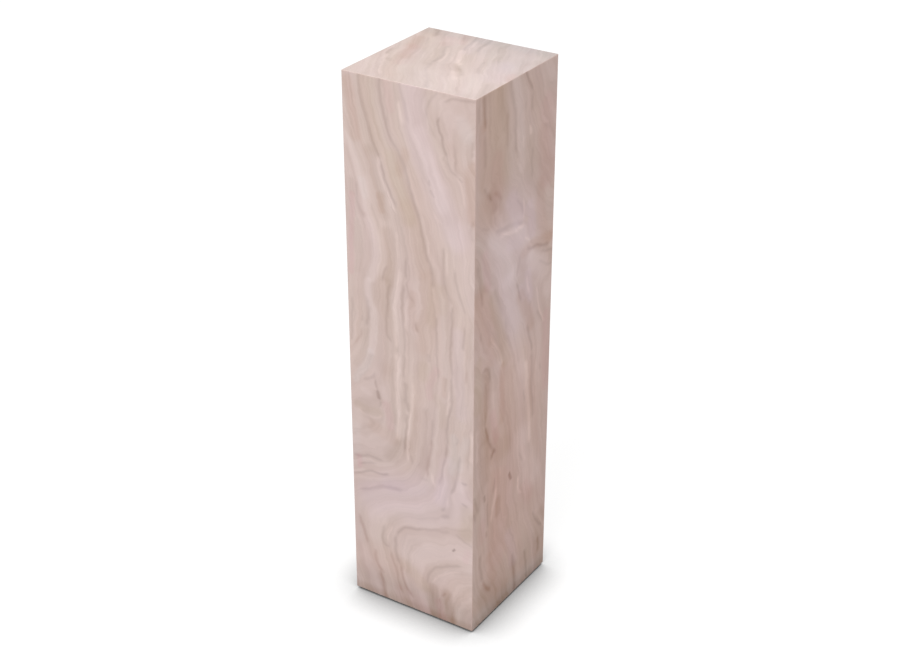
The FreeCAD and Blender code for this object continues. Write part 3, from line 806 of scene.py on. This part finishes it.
class Shader:
    """Adds nodes to one material or world, with sockets or plain values as inputs."""

    def __init__(self, name, library=bpy.data.materials):
        self.block = library.new(name)
        self.block.use_nodes = True
        self.tree = self.block.node_tree
        self.tree.nodes.clear()

    def add(self, kind, inputs=(), **settings):
        node = self.tree.nodes.new(kind)
        for key, value in settings.items():
            setattr(node, key, value)
        for key, value in dict(inputs).items():
            if isinstance(value, bpy.types.NodeSocket):
                self.tree.links.new(value, node.inputs[key])
            else:
                node.inputs[key].default_value = value
        return node

    def math(self, operation, *values):
        return self.add("ShaderNodeMath", enumerate(values), operation=operation).outputs[0]

    def vector(self, operation, *values):
        return self.add("ShaderNodeVectorMath", enumerate(values), operation=operation).outputs[0]

    def attribute(self, name, output):
        return self.add("ShaderNodeAttribute", attribute_name=name).outputs[output]

    def place(self):
        return self.add("ShaderNodeTexCoord").outputs["Object"]

    def noise(self, at, scale=1.0, detail=2.0, roughness=0.5, distortion=0.0):
        inputs = {"Vector": at, "Scale": scale, "Detail": detail}
        inputs.update(Roughness=roughness, Distortion=distortion)
        return self.add("ShaderNodeTexNoise", inputs).outputs[0]

    def stretched(self, at, sizes):
        """`at` with one unit of noise to each of the three lengths."""
        return self.vector("MULTIPLY", at, tuple(1 / size for size in sizes))

    def spread(self, noise, amount):
        """A noise's value moved to swing round zero, by about half of `amount` each way."""
        return self.math("MULTIPLY_ADD", noise, 2 * amount, -amount)

    def total(self, *values):
        result = values[0]
        for value in values[1:]:
            result = self.math("ADD", result, value)
        return result

    def blend(self, factor, first, second):
        inputs = {"Factor": factor}
        for key, colour in ((6, first), (7, second)):
            inputs[key] = colour if isinstance(colour, bpy.types.NodeSocket) else (*colour, 1.0)
        return self.add("ShaderNodeMix", inputs, data_type="RGBA").outputs[2]

    def ramp(self, value, low, high):
        inputs = {"Value": value, "From Min": low, "From Max": high}
        return self.add("ShaderNodeMapRange", inputs, clamp=True).outputs[0]

    def bump(self, height, strength, distance):
        inputs = {"Height": height, "Strength": strength, "Distance": distance}
        return self.add("ShaderNodeBump", inputs).outputs[0]

    def seen_directly(self):
        """1 for the camera's rays and those that come by gloss and clear parts, and 0 for others."""
        rays = self.add("ShaderNodeLightPath").outputs
        mirrored = self.math("MAXIMUM", rays["Is Glossy Ray"], rays["Is Transmission Ray"])
        return self.math("MAXIMUM", rays["Is Camera Ray"], mirrored)

    def finish(self, **inputs):
        named = {key.replace("_", " "): value for key, value in inputs.items()}
        surface = self.add("ShaderNodeBsdfPrincipled", named)
        output = self.add("ShaderNodeOutputMaterial", {"Surface": surface.outputs[0]})
        output.is_active_output = True
        return self.block


def stone_material():
    """Honed banded sandstone: the traced bands with painted shade and light among them, finer bands along the
    bedding, and grain.
    """
    sh = Shader("banded_sandstone")
    place = sh.place()
    drift_inputs = {"Vector": place, "Scale": DRIFT_SCALE, "Detail": 1.0}
    drift = sh.add("ShaderNodeTexNoise", drift_inputs).outputs["Color"]
    shift = sh.vector("MULTIPLY", sh.vector("SUBTRACT", drift, (0.5, 0.5, 0.5)), DRIFT_REACH)
    course = sh.vector("ADD", sh.attribute("flow", "Vector"), shift)
    jag = sh.noise(sh.stretched(course, JAG_SIZES), roughness=0.6)
    swing = sh.add("ShaderNodeCombineXYZ", {"X": sh.spread(jag, JAG_SWING)}).outputs[0]
    flow = sh.vector("ADD", course, swing)
    wide = sh.noise(sh.stretched(flow, WIDE_SIZES), detail=1.0)
    tinge = sh.noise(sh.stretched(flow, TINGE_SIZES), detail=1.0)
    band = sh.noise(sh.stretched(flow, BAND_SIZES), roughness=0.55)
    fine = sh.noise(sh.stretched(flow, FINE_SIZES), roughness=0.6)
    cloud = sh.noise(place, scale=CLOUD_SCALE)
    grain = sh.noise(place, scale=GRAIN_SCALE, roughness=0.7)

    tint = sh.add("ShaderNodeSeparateXYZ", {"Vector": sh.attribute("tint", "Vector")}).outputs
    ragged = sh.math("MULTIPLY_ADD", fine, 1.3, 0.35)
    lines = sh.math("MULTIPLY", sh.attribute("lines", "Fac"), ragged)
    crisp = sh.ramp(band, *BAND_EDGES)
    swings = ((crisp, BAND_TONE), (fine, FINE_TONE), (cloud, CLOUD_TONE), (grain, GRAIN_TONE))
    tone = sh.total(tint[0], lines, *(sh.spread(*swing) for swing in swings))
    warmth = sh.total(tint[1], sh.spread(wide, WIDE_WARMTH), sh.spread(crisp, BAND_WARMTH))
    rose = sh.total(tint[2], sh.spread(tinge, TINGE_ROSE))
    colour = sh.vector("MULTIPLY_ADD", tone, TONE, BASE_COLOUR)
    colour = sh.vector("MULTIPLY_ADD", warmth, WARMTH, colour)
    colour = sh.vector("MULTIPLY_ADD", rose, ROSE, colour)
    roughness = sh.math("MULTIPLY_ADD", fine, 0.12, 0.50)
    normal = sh.bump(sh.math("MULTIPLY_ADD", fine, 0.4, grain), 0.25, FINE_BUMP)
    return sh.finish(Base_Color=colour, Roughness=roughness, Normal=normal, Specular_IOR_Level=0.35)


def plywood_material():
    """Birch plywood: grained faces, and edges that show the plies."""
    sh = Shader("birch_plywood")
    place = sh.place()
    grain = sh.noise(sh.stretched(place, (0.05, 0.0025, 0.0025)), detail=4.0, roughness=0.6, distortion=0.4)
    waves = {"Vector": place, "Scale": 90.0, "Distortion": 0.6}
    plies = sh.add("ShaderNodeTexWave", waves, bands_direction="Z")
    face = sh.blend(sh.ramp(grain, 0.35, 0.65), (0.62, 0.45, 0.27), (0.74, 0.58, 0.38))
    edge = sh.blend(sh.ramp(plies.outputs["Fac"], 0.35, 0.65), (0.42, 0.27, 0.15), (0.70, 0.53, 0.33))
    geometry = sh.add("ShaderNodeNewGeometry").outputs["True Normal"]
    upright = sh.math("ABSOLUTE", sh.add("ShaderNodeSeparateXYZ", {"Vector": geometry}).outputs[2])
    colour = sh.blend(sh.ramp(upright, 0.4, 0.6), edge, face)
    return sh.finish(Base_Color=colour, Roughness=0.62, Normal=sh.bump(grain, 0.2, 0.0004))


def batten_material():
    """Sawn softwood with its grain running up the batten."""
    sh = Shader("sawn_softwood")
    place = sh.place()
    wander = sh.noise(sh.stretched(place, (0.06, 0.06, 0.5)))
    rings = sh.noise(sh.stretched(place, (0.0035, 0.006, 0.22)), detail=3.0, distortion=0.3)
    mark = sh.math("FRACT", sh.math("MULTIPLY_ADD", rings, 3.0, wander))
    colour = sh.blend(sh.ramp(mark, 0.2, 0.9), (0.74, 0.55, 0.33), (0.56, 0.36, 0.18))
    return sh.finish(Base_Color=colour, Roughness=0.68, Normal=sh.bump(rings, 0.3, 0.0004))


def mottled_material(name, scale, roughness, dark, light, gloss, bump, metallic=0.0):
    """One stuff with a fine mottle in its colour, gloss and surface."""
    sh = Shader(name)
    mottle = sh.noise(sh.place(), scale=scale, detail=3.0, roughness=roughness)
    colour = sh.blend(sh.ramp(mottle, 0.3, 0.7), dark, light)
    sheen = sh.math("MULTIPLY_ADD", mottle, *gloss)
    surface = sh.bump(mottle, *bump)
    return sh.finish(Base_Color=colour, Metallic=metallic, Roughness=sheen, Normal=surface)


def adhesive_material():
    """Cured construction adhesive: off-white, slightly lumpy and uneven in gloss."""
    pale, dark = (0.72, 0.69, 0.62), (0.58, 0.55, 0.48)
    return mottled_material("cured_adhesive", 130.0, 0.5, dark, pale, (-0.25, 0.62), (0.6, 0.001))


def steel_material(name, dark, light, gloss):
    """Plated steel with a fine crystalline mottle."""
    return mottled_material(name, 420.0, 0.65, dark, light, (0.18, gloss), (0.08, FINE_BUMP), 1.0)


def plastic_material():
    """Moulded dark plastic with a fine spark-eroded texture."""
    sh = Shader("moulded_plastic")
    place = sh.place()
    texture = sh.noise(place, scale=1400.0, roughness=0.6)
    scuff = sh.noise(place, scale=60.0, detail=4.0)
    colour = sh.blend(sh.ramp(scuff, 0.35, 0.75), (0.018, 0.018, 0.019), (0.045, 0.044, 0.043))
    gloss = sh.math("MULTIPLY_ADD", scuff, 0.2, 0.4)
    return sh.finish(Base_Color=colour, Roughness=gloss, Normal=sh.bump(texture, 0.3, FINE_BUMP))


def dress_frame():
    """Gives every CAD node that stays its finish."""
    yellow_zinc = steel_material("yellow_zinc_steel", (0.50, 0.40, 0.19), (0.70, 0.58, 0.31), 0.28)
    bright_zinc = steel_material("zinc_plated_steel", (0.50, 0.52, 0.54), (0.70, 0.72, 0.74), 0.25)
    finishes = (
        (plywood_material(), ("base_board", "mid_brace", "top_board")),
        (batten_material(), ("corner_batten_",)),
        (adhesive_material(), ("adhesive_beads",)),
        (yellow_zinc, ("base_board_screws",)),
        (bright_zinc, ("tee_nuts", "glide_stem_")),
        (plastic_material(), ("glide_pad_",)),
    )
    for material, starts in finishes:
        for name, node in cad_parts.items():
            if name.startswith(starts):
                node.data.materials.clear()
                node.data.materials.append(material)


# Floor, light and camera


def floor_material():
    """Plain and white to the camera, with the object's shadow, and a mid grey to every other ray."""
    sh = Shader("studio_floor")
    from_camera = sh.add("ShaderNodeLightPath").outputs["Is Camera Ray"]
    mottle = sh.noise(sh.place(), scale=3.0)
    seen = sh.blend(mottle, *((FLOOR_SEEN * share,) * 3 for share in FLOOR_MOTTLE))
    plain = sh.blend(from_camera, (FLOOR_BOUNCE,) * 3, seen)
    near = sh.add("ShaderNodeAmbientOcclusion", {"Distance": CONTACT_REACH}, samples=12).outputs["AO"]
    open_sky = sh.math("POWER", sh.ramp(near, *CONTACT_RANGE), CONTACT_POWER)
    glow = sh.math("MULTIPLY", sh.math("MULTIPLY", open_sky, sh.seen_directly()), FLOOR_GLOW)
    diffuse = sh.add("ShaderNodeBsdfDiffuse", {"Color": plain}).outputs[0]
    emission = sh.add("ShaderNodeEmission", {"Strength": glow}).outputs[0]
    both = sh.add("ShaderNodeAddShader", {0: diffuse, 1: emission}).outputs[0]
    sh.add("ShaderNodeOutputMaterial", {"Surface": both})
    return sh.block


def studio_floor():
    half = FLOOR_SIZE / 2
    mesh = bpy.data.meshes.new("studio_floor")
    corners = [(-half, -half, 0), (half, -half, 0), (half, half, 0), (-half, half, 0)]
    mesh.from_pydata(corners, [], [(0, 1, 2, 3)])
    mesh.materials.append(floor_material())
    add_object("studio_floor", mesh)


def studio_world():
    """Even white light all round, with plain white for what the camera, gloss and clear parts see."""
    sh = Shader("studio", bpy.data.worlds)
    light = sh.add("ShaderNodeBackground", {"Color": WHITE, "Strength": SKY_LEVEL}).outputs[0]
    plain = sh.add("ShaderNodeBackground", {"Color": WHITE, "Strength": 1.0}).outputs[0]
    mixed = sh.add("ShaderNodeMixShader", {0: sh.seen_directly(), 1: light, 2: plain}).outputs[0]
    sh.add("ShaderNodeOutputWorld", {"Surface": mixed})
    bpy.context.scene.world = sh.block


def studio_lamp():
    """One large soft lamp, high in front of the object."""
    middle = np.mean(cad_box, axis=0)
    way = np.array(LAMP_DIRECTION) / np.linalg.norm(LAMP_DIRECTION)
    data = bpy.data.lights.new("softbox", "AREA")
    data.shape = "SQUARE"
    data.size = LAMP_SIZE
    data.energy = LAMP_LEVEL * (math.pi * LAMP_DISTANCE) ** 2
    lamp = add_object("softbox", data)
    lamp.location = middle + LAMP_DISTANCE * way
    turn = math.atan2(way[0], -way[1])
    lamp.rotation_euler = (math.pi / 2 - math.asin(way[2]), 0, turn)


def photo_camera():
    data = bpy.data.cameras.new("photo_camera")
    data.lens = CAMERA_LENS
    camera = add_object("photo_camera", data)
    camera.location = CAMERA_PLACE
    camera.rotation_euler = (math.radians(90 - CAMERA_ELEVATION), 0, math.radians(CAMERA_AZIMUTH))
    bpy.context.scene.camera = camera


stone = stone_material()
for slab in SLABS:
    slab_piece(*slab).data.materials.append(stone)
dress_frame()
studio_floor()
studio_world()
studio_lamp()
photo_camera()
bpy.context.scene.view_settings.view_transform = "Standard"
